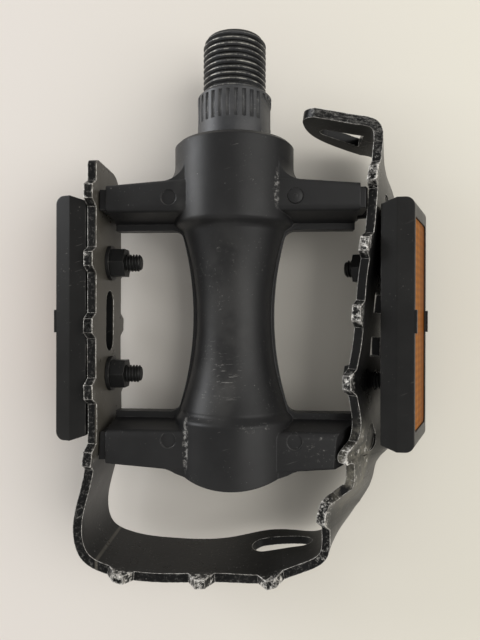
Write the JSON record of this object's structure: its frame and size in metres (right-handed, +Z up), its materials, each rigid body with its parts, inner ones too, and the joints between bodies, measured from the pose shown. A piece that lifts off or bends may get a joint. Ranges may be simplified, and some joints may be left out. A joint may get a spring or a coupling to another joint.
{
  "type": "mountain bike pedal",
  "caption": "Left mountain bike pedal: resin body turning on ball bearings round a threaded spindle, with a bent toothed steel cage, a strap loop and amber reflectors at the front and rear.",
  "frame": {"origin": "on the spindle axis, in the plane of the shoulder that seats against the crank", "axes": "+Y along the spindle out of its threaded end, +X to the rear of the pedal, +Z up out of one tread face"},
  "size_m": [0.0839, 0.1197, 0.027],
  "materials": {
    "spindle_steel": "dark phosphated steel, worn bright on the thread crests and flutes",
    "bearing_steel": "hardened steel, greased",
    "ball_steel": "polished bearing steel",
    "seal_rubber": "soft black rubber",
    "cap_plastic": "moulded black plastic",
    "body_resin": "satin black resin with fine scuffs",
    "cage_paint": "black paint, worn to bare steel on edges and tooth tops",
    "housing_plastic": "moulded black plastic",
    "lens_amber": "clear amber with a prismatic back",
    "fastener_black": "black oxide steel"
  },
  "bodies": {
    "spindle": {"spindle": "spindle_steel", "outer_cone": "bearing_steel", "lock_washer": "bearing_steel", "lock_nut": "bearing_steel"},
    "inner_ball_ring": {"inner_balls": "ball_steel"},
    "outer_ball_ring": {"outer_balls": "ball_steel"},
    "pedal": {"inner_cup": "bearing_steel", "outer_cup": "bearing_steel", "dust_seal": "seal_rubber", "dust_cap": "cap_plastic", "body": "body_resin", "cage": "cage_paint", "cage_screws": "fastener_black", "front_reflector_housing": "housing_plastic", "front_reflector_lens": "lens_amber", "front_reflector_studs": "fastener_black", "front_reflector_washers": "fastener_black", "front_reflector_nuts": "fastener_black", "rear_reflector_housing": "housing_plastic", "rear_reflector_lens": "lens_amber", "rear_reflector_studs": "fastener_black", "rear_reflector_washers": "fastener_black", "rear_reflector_nuts": "fastener_black"}
  },
  "joints": [
    {"name": "pedal_spin", "type": "hinge", "parent": "spindle", "child": "pedal", "pos_m": [0, -0.05, 0], "axis": [0, 1, 0], "continuous": true},
    {"name": "inner_balls_orbit", "type": "hinge", "parent": "spindle", "child": "inner_ball_ring", "pos_m": [0, -0.0175, 0], "axis": [0, 1, 0], "continuous": true},
    {"name": "outer_balls_orbit", "type": "hinge", "parent": "spindle", "child": "outer_ball_ring", "pos_m": [0, -0.073, 0], "axis": [0, 1, 0], "continuous": true}
  ]
}
